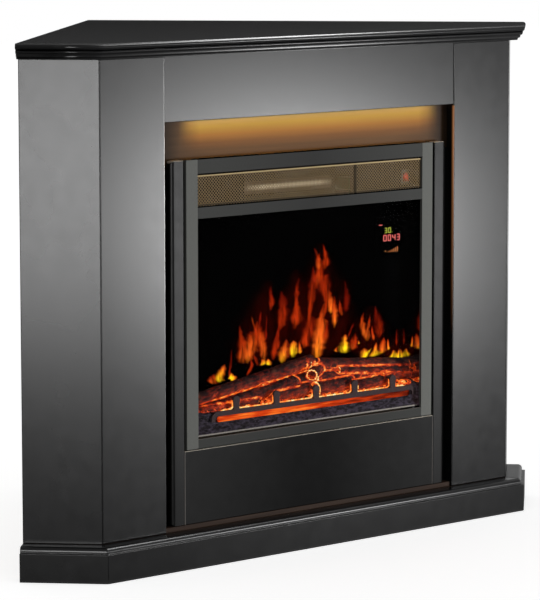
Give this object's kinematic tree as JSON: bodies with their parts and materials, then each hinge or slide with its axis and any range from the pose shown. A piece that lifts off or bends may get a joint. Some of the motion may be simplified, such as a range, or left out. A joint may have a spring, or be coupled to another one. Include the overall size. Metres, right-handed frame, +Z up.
{
  "type": "corner fireplace",
  "caption": "Corner mantel with a lit niche over an electric fire: glass front, glowing logs and grate, heater grille and a drop-down control door.",
  "frame": {"origin": "on the floor, under the middle of the outline seen from above", "axes": "+X right along the front, +Y from the front towards the wall corner, +Z up"},
  "size_m": [1.2426, 0.7332, 0.95],
  "materials": {
    "graphite_lacquer": "semi-gloss graphite lacquer over fibreboard",
    "brown_lacquer": "semi-gloss dark brown lacquer over fibreboard",
    "raw_board": "bare fibreboard",
    "zinc_steel": "zinc plated",
    "light_channel": "anodised",
    "light_lamps": "lit warm lamps on a strip",
    "light_diffuser": "frosted amber, lit",
    "frame_coat": "fine satin grey-green coat",
    "grille_mesh": "brown brass coat on perforated sheet",
    "casing_coat": "satin black",
    "front_glass": "dark tempered glass",
    "display_black": "gloss black behind the glass",
    "smoked_screen": "smoked acrylic",
    "ember_resin": "rough moulded resin, lit from inside",
    "log_resin": "rough moulded resin, lit from inside",
    "grate_iron": "rough dark iron look",
    "bright_metal": "mill finish",
    "bearing_steel": "plated sheet",
    "motor_case": "grey",
    "circuit_board": "green laminate",
    "heater_ceramic": "pale ceramic and fins",
    "black_plastic": "moulded",
    "red_plastic": "lit translucent red"
  },
  "bodies": {
    "mantel": {"top_board": "graphite_lacquer", "left_pilaster": "graphite_lacquer", "right_pilaster": "graphite_lacquer", "left_side_panel": "graphite_lacquer", "right_side_panel": "graphite_lacquer", "header_panel": "graphite_lacquer", "niche_panel": "graphite_lacquer", "side_back_boards": "graphite_lacquer", "lower_back_board": "graphite_lacquer", "side_strips": "graphite_lacquer", "lower_panel": "graphite_lacquer", "foot_strip": "brown_lacquer", "plinth_front": "graphite_lacquer", "plinth_left": "graphite_lacquer", "plinth_right": "graphite_lacquer", "base_board": "raw_board", "base_battens": "raw_board", "rear_rails": "raw_board", "corner_post": "raw_board", "insert_shelf": "raw_board", "shelf_supports": "raw_board", "light_profile": "light_channel", "light_strip": "light_lamps", "light_diffuser": "light_diffuser", "corner_braces": "zinc_steel", "brace_screws": "zinc_steel", "left_stile": "frame_coat", "right_stile": "frame_coat", "top_rail": "frame_coat", "middle_rail": "frame_coat", "bottom_rail": "frame_coat", "heater_grille": "grille_mesh", "door_pins": "zinc_steel", "door_fittings": "casing_coat", "glass_pane": "front_glass", "display_board": "display_black", "casing_top": "casing_coat", "casing_base": "casing_coat", "casing_sides": "casing_coat", "casing_back": "casing_coat", "bay_floor": "casing_coat", "flame_screen": "smoked_screen", "ember_bed": "ember_resin", "log_set": "log_resin", "grate": "grate_iron", "flicker_bearing": "bearing_steel", "flicker_motor": "motor_case", "ember_lamps": "circuit_board", "heater_duct": "bright_metal", "heating_element": "heater_ceramic", "fan_motor": "motor_case", "control_plate": "casing_coat", "power_switch": "black_plastic", "control_board": "circuit_board", "cable_gland": "black_plastic", "casing_screws": "zinc_steel"},
    "fan": {"fan_wheel": "bright_metal"},
    "flicker": {"flicker_rod": "bright_metal"},
    "door": {"control_door": "grille_mesh"},
    "rocker": {"power_rocker": "red_plastic"}
  },
  "joints": [
    {"name": "fan_spin", "type": "hinge", "parent": "mantel", "child": "fan", "pos_m": [-0.03, -0.23462, 0.67045], "axis": [1, 0, 0], "continuous": true},
    {"name": "flicker_spin", "type": "hinge", "parent": "mantel", "child": "flicker", "pos_m": [0, -0.20462, 0.2622], "axis": [1, 0, 0], "continuous": true},
    {"name": "door_hinge", "type": "hinge", "parent": "mantel", "child": "door", "pos_m": [0.19, -0.31662, 0.6535], "axis": [1, 0, 0], "range_deg": [0, 80]},
    {"name": "rocker_tilt", "type": "hinge", "parent": "mantel", "child": "rocker", "pos_m": [0.2525, -0.29812, 0.66845], "axis": [1, 0, 0], "range_deg": [0, 22]}
  ]
}
